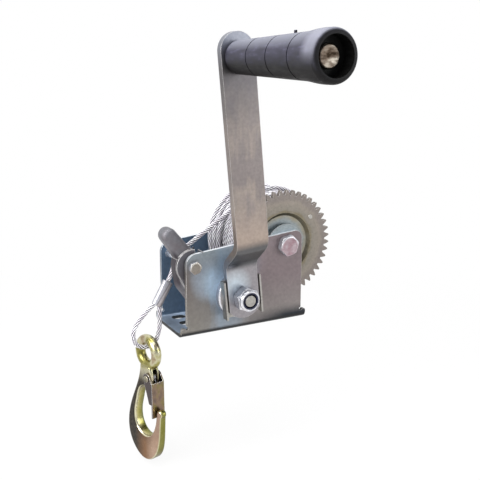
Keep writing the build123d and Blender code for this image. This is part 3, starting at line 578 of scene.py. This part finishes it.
# Painted light, grey, on the upward side of the grip.
lit_grip_top = facing(tree, up, 0.35, 0.95)
tone = tinted(tree, tone, "#858793", lit_grip_top, most=0.85)
# A painted highlight on the upper side of the flare.
flare_y = grip_low.y + flare_length
on_flare = zone(tree, place, "Y", flare_y + 8 * mm, flare_y)
lit_flare_side = facing(tree, (-0.8, 0, 0.6), 0.55, 0.95)
tone = tinted(tree, tone, "#9899a6", on_flare, lit_flare_side, most=0.5)
# Painted shade, nearly black, on the underside of the grip.
shaded_grip_underside = facing(tree, down, -0.25, 0.45)
tone = tinted(tree, tone, "#0c0a0a", shaded_grip_underside, most=0.97)
# Painted shade, black, on the grip's end face round the recess.
shaded_end_face = facing(tree, to_front, 0.6, 0.9)
tone = tinted(tree, tone, "#0b0a0b", shaded_end_face, most=0.92)
# Painted shade, black, in the recess round the stud.
recess_y = grip_low.y + recess_depth
near_end = zone(tree, place, "Y", recess_y + 1 * mm, recess_y)
shaded_recess = from_axis(
    tree, place, grip_axis, recess_radius + 0.2 * mm, recess_radius + 0.1 * mm
)
tone = tinted(tree, tone, "#050505", near_end, shaded_recess)
tree.links.new(tone, shader.inputs["Base Color"])
gloss = add_node(
    tree,
    "MapRange",
    {"Value": scuffs, "From Min": 0.3, "From Max": 0.7, "To Min": 0.46, "To Max": 0.62},
).outputs["Result"]
tree.links.new(gloss, shader.inputs["Roughness"])
pores = grain(tree, place, size=0.5 * mm)
relief = add_node(
    tree, "Bump", {"Height": pores, "Strength": 0.2, "Distance": 0.1 * mm}
).outputs["Normal"]
tree.links.new(relief, shader.inputs["Normal"])
shader.inputs["IOR"].default_value = 1.4
shader.inputs["Specular IOR Level"].default_value = 0.3
dress(grip_plastic, "grip")

# Gate mark
# The stub that is left where the plastic entered the mould, broken off on top of the grip.
# It is of one piece with the grip, so it turns with it.
gate_radius = 1.1 * mm
gate_height = 3.2 * mm
gate_y = -149 * mm
gate_off_axis = 1.3 * mm
gate_rise = 15.1 * mm
lip_width = 0.4 * mm
lip_rise = 0.35 * mm
torn_over = 0.25 * mm
dimple_inset = 0.25 * mm
dimple_depth = 0.3 * mm
nearly_up = 0.9
smooth_below = math.radians(40)
gate_place = Vector((grip_axis.x - gate_off_axis, gate_y, grip_axis.z + gate_rise))
bpy.ops.object.select_all(action="DESELECT")
bpy.ops.mesh.primitive_cylinder_add(
    vertices=20, radius=gate_radius, depth=gate_height, location=gate_place
)
gate_mark = bpy.context.object
gate_mark.name = "grip_gate_mark"
bpy.ops.object.mode_set(mode="EDIT")
bpy.ops.mesh.select_all(action="DESELECT")
bpy.ops.object.mode_set(mode="OBJECT")
for face in gate_mark.data.polygons:
    face.select = face.normal.z > nearly_up
bpy.ops.object.mode_set(mode="EDIT")
bpy.ops.mesh.inset(thickness=lip_width)
bpy.ops.transform.translate(value=(torn_over, 0, lip_rise))
bpy.ops.mesh.inset(thickness=dimple_inset)
bpy.ops.transform.translate(value=(0, 0, -dimple_depth))
bpy.ops.object.mode_set(mode="OBJECT")
rounding = gate_mark.modifiers.new("rounding", "BEVEL")
rounding.width = 0.12 * mm
rounding.segments = 2
bpy.ops.object.modifier_apply(modifier="rounding")
bpy.ops.object.transform_apply(location=True, rotation=True, scale=True)
bpy.ops.object.shade_smooth_by_angle(angle=smooth_below)
gate_mark.data.materials.append(grip_plastic)
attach(gate_mark, "handle")

# Pawl
# A stamped 2.5 mm channel with a hollow finger, on an M6 bolt, pushed by a torsion spring.
# The bolt has the drum bolt's plating, and its nut sits behind the rear plate.
cheek_radius = 14.6 * mm
cheek_front = -25.35 * mm
to_shade = (-0.94, 0, -0.34)

# Dull zinc: grey and nearly matt, its cut edges painted bright near the bolt, partly as scuffed
# bare metal and partly as a painted glint, with painted shade on the cheek and on the side of the
# channel round the bolt.
zinc_matt, tree, shader, place = new_material("dull_zinc_plated_stamping")
dull_greys = [(0.3, "#7c7e84"), (0.5, "#7b7a7f"), (0.7, "#767175")]
tone = drifting(tree, place, dull_greys, size=12 * mm)
# Painted shade on the front face of the cheek round the bolt.
cheek_shade = from_axis(tree, place, pawl_axis, cheek_radius - 0.6 * mm, cheek_radius - 1.4 * mm)
cheek_face = zone(tree, place, "Y", cheek_front + 0.15 * mm, cheek_front)
tone = tinted(tree, tone, "#4f4c51", cheek_shade, cheek_face, most=0.7)
# Painted shade on the side of the channel that faces away from the light, round the bolt.
near_bolt = from_axis(tree, place, pawl_axis, 24 * mm, 18 * mm)
shaded_channel_side = facing(tree, to_shade, 0.3, 0.7)
tone = tinted(tree, tone, "#403a40", near_bolt, shaded_channel_side, most=0.9)
metal_surface(
    tree,
    shader,
    place,
    tone,
    grit=0.5 * mm,
    roughness=(0.48, 0.64),
    bump=0.16,
    edge=1.2 * mm,
    wear_and_glint=near_bolt,
    metallic=0.8,
)
dress(zinc_matt, "pawl")
dress(bolt_zinc, "pawl_bolt", "pawl_bolt_nut")

# Spring wire: hard drawn, grey, with a sharp shine along it.
spring_wire, tree, shader, place = new_material("hard_drawn_spring_wire")
wire_greys = [(0.35, "#8f9094"), (0.65, "#b5b4b8")]
tone = drifting(tree, place, wire_greys, size=2 * mm)
metal_surface(
    tree,
    shader,
    place,
    tone,
    grit=0.3 * mm,
    roughness=(0.22, 0.36),
    bump=0.1,
    edge=0.1 * mm,
    wear_and_glint=0.0,
)
dress(spring_wire, "pawl_spring", "latch_spring")

# Rope on the drum
# Galvanised wire rope of six strands round a core, 4 mm thick, in close turns over an older layer.
# The last turns at the rear are slack, and the rope then crosses back over the turns to the middle.
rope_radius = 2 * mm
strand_count = 6
strand_radius = 0.53 * mm
strand_centre = rope_radius - strand_radius
core_share = 1.6
rope_lay = 27 * mm
grease_and_shade_depth = 0.05
weld_gap = 0.0001 * mm


def mesh_of(curve):
    """A mesh of a curve's shape, made through an object that is then removed."""
    holder = bpy.data.objects.new(curve.name, curve)
    bpy.context.scene.collection.objects.link(holder)
    shaped = holder.evaluated_get(bpy.context.evaluated_depsgraph_get())
    mesh = bpy.data.meshes.new_from_object(shaped)
    bpy.data.objects.remove(holder)
    return mesh


def rope_line(name, controls, steps):
    """The points of a smooth line that follows the control points."""
    curve = bpy.data.curves.new(name + "_line", "CURVE")
    curve.dimensions = "3D"
    curve.resolution_u = steps
    spline = curve.splines.new("NURBS")
    spline.points.add(len(controls) - 1)
    for point, control in zip(spline.points, controls):
        point.co = (*control, 1)
    spline.order_u = 3
    spline.use_endpoint_u = True
    return [vertex.co.copy() for vertex in mesh_of(curve).vertices]


def lay_strands(name, points):
    """Six round strands laid to the right about a core on a line of points, as one mesh.

    Each point knows its depth in the rope, which darkens it as grease and painted shade. Every
    other strand counts as deeper.
    """
    curve = bpy.data.curves.new(name, "CURVE")
    curve.dimensions = "3D"
    curve.bevel_depth = strand_radius
    curve.bevel_resolution = 1
    curve.use_fill_caps = True
    run = 0.0
    side = (points[1] - points[0]).orthogonal().normalized()
    rings = [[] for _ in range(strand_count)]
    for count, point in enumerate(points):
        before = points[max(count - 1, 0)]
        after = points[min(count + 1, len(points) - 1)]
        ahead = (after - before).normalized()
        side = (side - ahead * side.dot(ahead)).normalized()
        across = ahead.cross(side)
        run += (point - before).length
        for strand, ring in enumerate(rings):
            turn = 2 * math.pi * (run / rope_lay + strand / strand_count)
            ring.append(point + strand_centre * (math.cos(turn) * side + math.sin(turn) * across))
    for ring in rings + [points]:
        spline = curve.splines.new("POLY")
        spline.points.add(len(ring) - 1)
        for point, spot in zip(spline.points, ring):
            point.co = (*spot, 1)
            point.radius = core_share if ring is points else 1.0
    mesh = mesh_of(curve)
    mesh.name = name
    rope = bpy.data.objects.new(name, mesh)
    bpy.context.scene.collection.objects.link(rope)
    sides = len(mesh.vertices) // ((strand_count + 1) * (len(points) + 2))
    ends = 2 * (strand_count + 1) * sides
    depth = mesh.attributes.new("depth", "FLOAT", "POINT")
    for count in range(len(mesh.vertices) - ends):
        strand, station = divmod(count // sides, len(points))
        out = (mesh.vertices[ends + count].co - points[station]) / rope_radius
        depth.data[ends + count].value = out.length - grease_and_shade_depth * (strand % 2)
    for face in mesh.polygons:
        face.use_smooth = True
    mesh.materials.append(rope_wire)
    bpy.ops.object.select_all(action="DESELECT")
    bpy.context.view_layer.objects.active = rope
    rope.select_set(True)
    bpy.ops.object.mode_set(mode="EDIT")
    bpy.ops.mesh.select_all(action="SELECT")
    bpy.ops.mesh.remove_doubles(threshold=weld_gap)
    bpy.ops.object.mode_set(mode="OBJECT")
    return rope


# Galvanised wire: pale grey with a mauve cast where it is bare, and dark between strands, partly
# with grease and partly as painted shade.
rope_wire, tree, shader, place = new_material("galvanised_rope_wire")
depth = add_node(tree, "Attribute", attribute_name="depth").outputs["Fac"]
# Dark towards the rope's core: partly grease, partly painted shade between the strands.
tone = add_node(
    tree,
    "ValToRGB",
    {"Fac": depth},
    [(0.66, "#060508"), (0.79, "#5f5d68"), (0.87, "#e2e0ea"), (0.94, "#ffffff")],
).outputs["Color"]
dusty = drifting(tree, place, [(0.35, "#e8e3e8"), (0.6, "#ffffff")], size=9 * mm)
tone = add_node(
    tree, "MixRGB", {"Fac": 1.0, "Color1": tone, "Color2": dusty}, blend_type="MULTIPLY"
).outputs["Color"]
tree.links.new(tone, shader.inputs["Base Color"])
shader.inputs["Metallic"].default_value = 0.25
shader.inputs["Roughness"].default_value = 0.46

# The winding's sizes. Angles are in degrees round the drum's axis, and a sway is how far, how
# fast and from which phase the turns wander.
wound_front = -18.2 * mm
wound_rear = 22.0 * mm
close_turns = 7
layer_radius = 43 * mm
first_radius = 41.2 * mm
under_turns = 3
under_radius = 39.5 * mm
under_pitch = 2.05 * rope_radius
slack_turns = 3
slack_radius = 46 * mm
slack_shift = 6.9 * mm
slack_angle = 162
nest_rise = 1.4 * rope_radius
crossing_angle = 300
step_over_share = 0.25
leave_angle = 124.2
leave_radius = 47.3 * mm
lift_share = 0.25
return_speed = 1.1
sways = [(0.18 * mm, 0.71, 0), (0.12 * mm, 0.31, 1)]
points_per_turn = 24
step_angle = 360 / points_per_turn
winding_steps = 6


def ease(share):
    """A share from 0 to 1 that starts and ends gently."""
    held = min(1.0, max(0.0, share))
    return held * held * (3 - 2 * held)


def on_drum(angle, y, radius):
    """A point at an angle in degrees round the drum's axis."""
    turn = math.radians(angle)
    return (drum_axis.x + radius * math.cos(turn), y, drum_axis.z + radius * math.sin(turn))


def parallel_turns(turns, first_y, pitch, radius_at):
    """Turns side by side, each of which steps over to the next below the drum."""
    controls = []
    for step in range(turns * points_per_turn):
        turn, part = divmod(step, points_per_turn)
        over = ease((part / points_per_turn - (1 - step_over_share)) / step_over_share)
        angle = crossing_angle + step * step_angle
        sway = sum(far * math.sin(step * fast + phase) for far, fast, phase in sways)
        y = first_y + (turn + over) * pitch + sway
        controls.append(on_drum(angle, y, radius_at(turn + over, angle)))
    return controls


def close_reach(turn, _angle):
    """The radius of a close turn: the first lies a little deeper, beside the wheel."""
    return first_radius + (layer_radius - first_radius) * min(1.0, turn)


def slack_reach(turn, angle):
    """The radius of a slack turn, which is a larger circle beside the drum's axis."""
    shift = slack_shift * min(1.0, (turn + 1) / slack_turns)
    off = math.radians(angle - slack_angle)
    reach = shift * math.cos(off) + math.sqrt(slack_radius**2 - (shift * math.sin(off)) ** 2)
    return max(reach, under_radius + nest_rise)


def under_reach(_turn, _angle):
    """The radius of the layer below, the same all round."""
    return under_radius


slack_front = wound_front + close_turns * 2 * rope_radius
slack_pitch = (wound_rear - slack_front) / slack_turns
wound_controls = parallel_turns(
    close_turns, wound_front + rope_radius, 2 * rope_radius, close_reach
)
wound_controls += parallel_turns(
    slack_turns, slack_front + slack_pitch / 2, slack_pitch, slack_reach
)
last_y = slack_front + slack_pitch * (slack_turns - 0.5)
over_angle = leave_angle + 360 - crossing_angle
over_steps = round(over_angle / step_angle)
for step in range(over_steps + 1):
    share = step / over_steps
    angle = crossing_angle + share * over_angle
    lift = ease(share / lift_share)
    radius = slack_reach(slack_turns, angle) * (1 - lift) + leave_radius * lift
    wound_controls.append(on_drum(angle, last_y * (1 - ease(share * return_speed)), radius))
wound_line = rope_line("rope_winding", wound_controls, winding_steps)
rope_winding = lay_strands("rope_winding", wound_line)
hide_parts("rope_winding")
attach(rope_winding, "drum")
under_controls = parallel_turns(
    under_turns, slack_front + rope_radius, under_pitch, under_reach
)
under_line = rope_line("rope_under", under_controls, winding_steps)
rope_under = lay_strands("rope_under_layer", under_line)
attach(rope_under, "drum")

# Free end of the rope
# The rope runs off the drum, over the pawl bolt and down into a pressed aluminium ferrule.
# The ferrule holds the two legs of an eye, which is reeved through the eye of the hook.
free_route = [
    (14.41, 0, 109.92),
    (-34.487, 0, 78.457),  # six diameters before the bolt: the rope is straight up to there
    (-54.67, 0, 65.47),
    (-57.06, 0, 51.33),
    (-61.50, 0, 43.50),
]
free_controls = [Vector(point) * mm for point in free_route]
free_line = rope_line("rope_free_end", free_controls, steps=24)
rope_free = lay_strands("rope_free_end_strands", free_line)
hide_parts("rope_free_end")
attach(rope_free, "base")
eye_route = [
    (-73.90, 0, 25.82),
    (-85.6, 0, 16.6),
    (-95.6, 0, 3.6),
    (-94.2, 0, -8.4),
    (-86.2, 0, -13.6),
    (-76.8, 0, -12.8),
    (-71.6, 0, -3.6),
    (-69.8, 0, 9.6),
    (-70.34, 0, 23.79),
]
eye_controls = [Vector(point) * mm for point in eye_route]
eye_line = rope_line("rope_eye", eye_controls, steps=12)
rope_eye = lay_strands("rope_eye_strands", eye_line)
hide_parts("rope_eye")
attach(rope_eye, "base")

# Pressed aluminium: painted bright over one leg of the rope and painted duller over the other, with
# painted shade at its edges and in the crease between.
aluminium, tree, shader, place = new_material("pressed_aluminium")
ferrule_low, ferrule_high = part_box("rope_ferrule")
ferrule_middle = (ferrule_low + ferrule_high) / 2
half_width = 5.5 * mm
legs = (free_controls[-1] - eye_controls[0]).normalized()
across_legs = Vector((legs.z, 0, -legs.x))
crease = ferrule_middle.dot(across_legs)
beside = add_node(
    tree, "VectorMath", {0: place, 1: across_legs}, operation="DOT_PRODUCT"
).outputs["Value"]
from_left = add_node(
    tree,
    "MapRange",
    {"Value": beside, "From Min": crease - half_width, "From Max": crease + half_width},
).outputs["Result"]
# The colours across the legs are painted light and shade on the ferrule's rounds.
tone = add_node(
    tree,
    "ValToRGB",
    {"Fac": from_left},
    [
        (0.0, "#a2a2a8"),
        (0.40, "#cacad1"),
        (0.48, "#8a888e"),
        (0.56, "#c8c3c6"),
        (0.75, "#beb5b4"),
        (1.0, "#7d7a80"),
    ],
).outputs["Color"]
metal_surface(
    tree,
    shader,
    place,
    tone,
    grit=0.4 * mm,
    roughness=(0.3, 0.46),
    bump=0.25,
    edge=0.4 * mm,
    wear_and_glint=0.3,
    metallic=0.7,
)
dress(aluminium, "rope_ferrule")

# Hook
# A forged steel hook with a round eye, a pressed sheet latch on a pin and a small spring.
# It hangs in the rope's eye, 15 degrees from square to it, and the latch closes its mouth.
hook_turn = math.radians(15)
hook_side = (math.cos(hook_turn), math.sin(hook_turn), 0)
other_side = (-hook_side[0], -hook_side[1], 0)
to_tip = (hook_side[1], -hook_side[0], 0)
hook_x = -81.6 * mm
hook_middle = hook_x * hook_side[0]
hook_half = 5 * mm

# Yellow-passivated zinc: olive and gold on the rounds, with painted light and shade in bands from
# one side to the other, and speckled dark brown on the flat sides, which are browner round the
# bowl. A painted highlight lies on the flats near the tip and on the rounds of the near side, and
# painted shade underneath.
yellow_zinc, tree, shader, place = new_material("yellow_passivated_forging")
olive_golds = [
    (0.30, "#77723a"),
    (0.44, "#a69f62"),
    (0.54, "#cfcbaa"),
    (0.64, "#a8957a"),
    (0.76, "#7d7940"),
]
dark_browns = [(0.35, "#2e2924"), (0.55, "#403a32"), (0.75, "#544b40")]
lit_band_weight = 0.8
tone = drifting(tree, place, olive_golds, size=11 * mm)
speckle = drifting(tree, place, dark_browns, size=2.5 * mm, detail=5.0)
along_hook = add_node(
    tree, "Mapping", {"Vector": place, "Rotation": (0, 0, -hook_turn)}
).outputs["Vector"]
# Painted light and shade across the hook's thickness, pale on one side and dark on the other.
through = zone(tree, along_hook, "X", hook_middle - hook_half, hook_middle + hook_half)
lit_bands = add_node(
    tree,
    "ValToRGB",
    {"Fac": through},
    [(0.1, "#ebe4d2"), (0.3, "#c4bb7c"), (0.55, "#96904a"), (0.85, "#5c6426")],
).outputs["Color"]
below_eye = zone(tree, place, "Z", -28 * mm, -46 * mm)
in_bands = add_node(
    tree, "Math", {0: below_eye, 1: lit_band_weight}, operation="MULTIPLY"
).outputs[0]
tone = add_node(
    tree, "MixRGB", {"Fac": in_bands, "Color1": tone, "Color2": lit_bands}
).outputs["Color"]
at_tip = zone(tree, along_hook, "Y", 12 * mm, 6 * mm)
tip_face = facing(tree, to_tip, 0.2, 0.6)
tone = tinted(tree, tone, "#7d7c3c", below_eye, at_tip, tip_face, most=0.85)
# Painted shade, dark brown, on the downward faces below the eye.
shaded_hook_underside = facing(tree, down, 0.2, 0.7)
tone = tinted(tree, tone, "#57492f", below_eye, shaded_hook_underside, most=0.85)
# A painted highlight, pale pink, on the flats near the tip.
lit_tip_side = zone(tree, along_hook, "Y", 16 * mm, 9 * mm)
speckle = tinted(tree, speckle, "#b99c89", lit_tip_side, most=0.8)
bowl = zone(tree, place, "Z", -84 * mm, -106 * mm)
bowl_front = zone(tree, along_hook, "Y", 38 * mm, 24 * mm)
speckle = tinted(tree, speckle, "#8f6a4c", bowl, bowl_front, most=0.9)
# A painted highlight, pale pink, on the bowl's flats towards the tip.
lit_bowl_tip = zone(tree, along_hook, "Y", 23 * mm, 12 * mm)
speckle = tinted(tree, speckle, "#c2a692", bowl, lit_bowl_tip, most=0.8)
# A painted highlight, pale, on the rounds that turn to the near side.
lit_hook_side = facing(tree, other_side, 0.45, 0.6)
tone = tinted(tree, tone, "#ddd7b4", below_eye, lit_hook_side, most=0.7)
flats = add_node(
    tree,
    "Math",
    {0: facing(tree, hook_side, 0.7, 0.92), 1: facing(tree, other_side, 0.7, 0.92)},
    operation="MAXIMUM",
).outputs[0]
dulled = add_node(tree, "Math", {0: flats, 1: below_eye}, operation="MULTIPLY").outputs[0]
tone = add_node(
    tree, "MixRGB", {"Fac": dulled, "Color1": tone, "Color2": speckle}
).outputs["Color"]
metal_surface(
    tree,
    shader,
    place,
    tone,
    grit=0.6 * mm,
    roughness=(0.22, 0.4),
    bump=0.16,
    edge=0.8 * mm,
    wear_and_glint=0.2,
)
dress(yellow_zinc, "hook", "hook_latch_pin")

# Yellow passivated sheet: thinner and duller than on the forging, brown with a violet cast, and
# with painted shade on its side flange.
yellow_sheet, tree, shader, place = new_material("yellow_passivated_sheet")
latch_browns = [(0.33, "#6f5f58"), (0.5, "#8b7663"), (0.62, "#857a52"), (0.72, "#75646a")]
tone = drifting(tree, place, latch_browns, size=8 * mm, stretch=(1, 1, 0.6))
# Painted shade, dark grey, on the latch's side flange.
shaded_latch_side = facing(tree, other_side, 0.5, 0.9)
tone = tinted(tree, tone, "#4b474b", shaded_latch_side, most=0.85)
metal_surface(
    tree,
    shader,
    place,
    tone,
    grit=0.5 * mm,
    roughness=(0.26, 0.42),
    bump=0.12,
    edge=0.7 * mm,
    wear_and_glint=1.0,
)
dress(yellow_sheet, "hook_latch")

# Studio
# A pale floor below the hook and a white sweep behind, soft light from above and from the left.
# The side that the camera stands on is greyer, so that flat metal shows some tone.
floor_gap = 4 * mm
floor_size = 8
shadow_reach = 0.1
floor_fade = 0.7
floor_height = cad_box[0][2] - floor_gap
bpy.ops.object.select_all(action="DESELECT")
bpy.ops.mesh.primitive_plane_add(size=floor_size, location=(0, 0, floor_height))
floor = bpy.context.object
floor.name = "floor"
floor_paint, tree, shader, place = new_material("matt_white_floor")
shader.inputs["Base Color"].default_value = linear("#f2f2f2")
shader.inputs["Roughness"].default_value = 0.9
glow = add_node(tree, "Emission", {"Color": linear("#ffffff"), "Strength": 1.0})
rays = add_node(tree, "LightPath").outputs
away = add_node(tree, "VectorMath", {0: place}, operation="LENGTH").outputs["Value"]
shown = add_node(
    tree,
    "MapRange",
    {
        "Value": away,
        "From Min": shadow_reach,
        "From Max": floor_fade,
        "To Min": 0.9,
        "To Max": 1.0,
    },
).outputs["Result"]
seen = add_node(
    tree, "Math", {0: rays["Is Camera Ray"], 1: rays["Is Glossy Ray"]}, operation="MAXIMUM"
).outputs[0]
seen = add_node(
    tree, "Math", {0: seen, 1: rays["Is Transmission Ray"]}, operation="MAXIMUM"
).outputs[0]
lit = add_node(tree, "Math", {0: seen, 1: shown}, operation="MULTIPLY").outputs[0]
mixed = add_node(tree, "MixShader", {0: lit, 1: shader.outputs[0], 2: glow.outputs[0]})
tree.links.new(mixed.outputs[0], tree.nodes["Material Output"].inputs["Surface"])
floor.data.materials.append(floor_paint)

scene = bpy.context.scene
world = bpy.data.worlds.new("white_studio")
world.use_nodes = True
scene.world = world
tree = world.node_tree
background = tree.nodes["Background"]
direction = add_node(tree, "TexCoord").outputs["Generated"]
to_rear = zone(tree, direction, "Y", -1, 0.2)
room = add_node(
    tree,
    "ValToRGB",
    {"Fac": to_rear},
    [(0.0, "#9aa0a8"), (0.6, "#b9bcc0"), (1.0, "#ffffff")],
).outputs["Color"]
rays = add_node(tree, "LightPath").outputs
mirrored = add_node(
    tree,
    "Math",
    {0: rays["Is Glossy Ray"], 1: rays["Is Transmission Ray"]},
    operation="MAXIMUM",
).outputs[0]
ambient = add_node(
    tree, "MixRGB", {"Fac": mirrored, "Color1": linear("#bcbcbc"), "Color2": room}
).outputs["Color"]
surroundings = tinted(tree, ambient, "#ffffff", rays["Is Camera Ray"])
tree.links.new(surroundings, background.inputs["Color"])
background.inputs["Strength"].default_value = 1.0

# Each softbox has its place and its size in metres and its power in watts.
aim = Vector((-0.02, 0.0, 0.07))
softboxes = [
    ("overhead_softbox", (-0.15, -0.15, 1.1), 0.9, 9.0),
    ("left_softbox", (-1.0, -0.35, 0.55), 0.7, 13.0),
    ("right_softbox", (0.8, -0.9, 0.35), 0.6, 4.0),
]
for name, spot, size, power in softboxes:
    lamp = bpy.data.lights.new(name, "AREA")
    lamp.shape = "SQUARE"
    lamp.size = size
    lamp.energy = power
    light = bpy.data.objects.new(name, lamp)
    light.location = spot
    light.rotation_euler = (aim - Vector(spot)).to_track_quat("-Z", "Y").to_euler()
    scene.collection.objects.link(light)

# Camera
# It stands in front of the crank, to the rope side and above, as the picture was taken.
camera_place = Vector((-296.28, -573.15, 228.08)) * mm
camera_turn = math.radians(-28.05)
camera_dip = math.radians(13.53)
camera_data = bpy.data.cameras.new("camera")
camera_data.sensor_width = 36
camera_data.lens = 55.42
camera_data.shift_x = 0.00056
camera_data.shift_y = 0.00156
camera_data.clip_start = 0.01
camera = bpy.data.objects.new("camera", camera_data)
camera.location = camera_place
camera.rotation_euler = (math.pi / 2 - camera_dip, 0, camera_turn)
scene.collection.objects.link(camera)
scene.camera = camera
scene.view_settings.view_transform = "Standard"
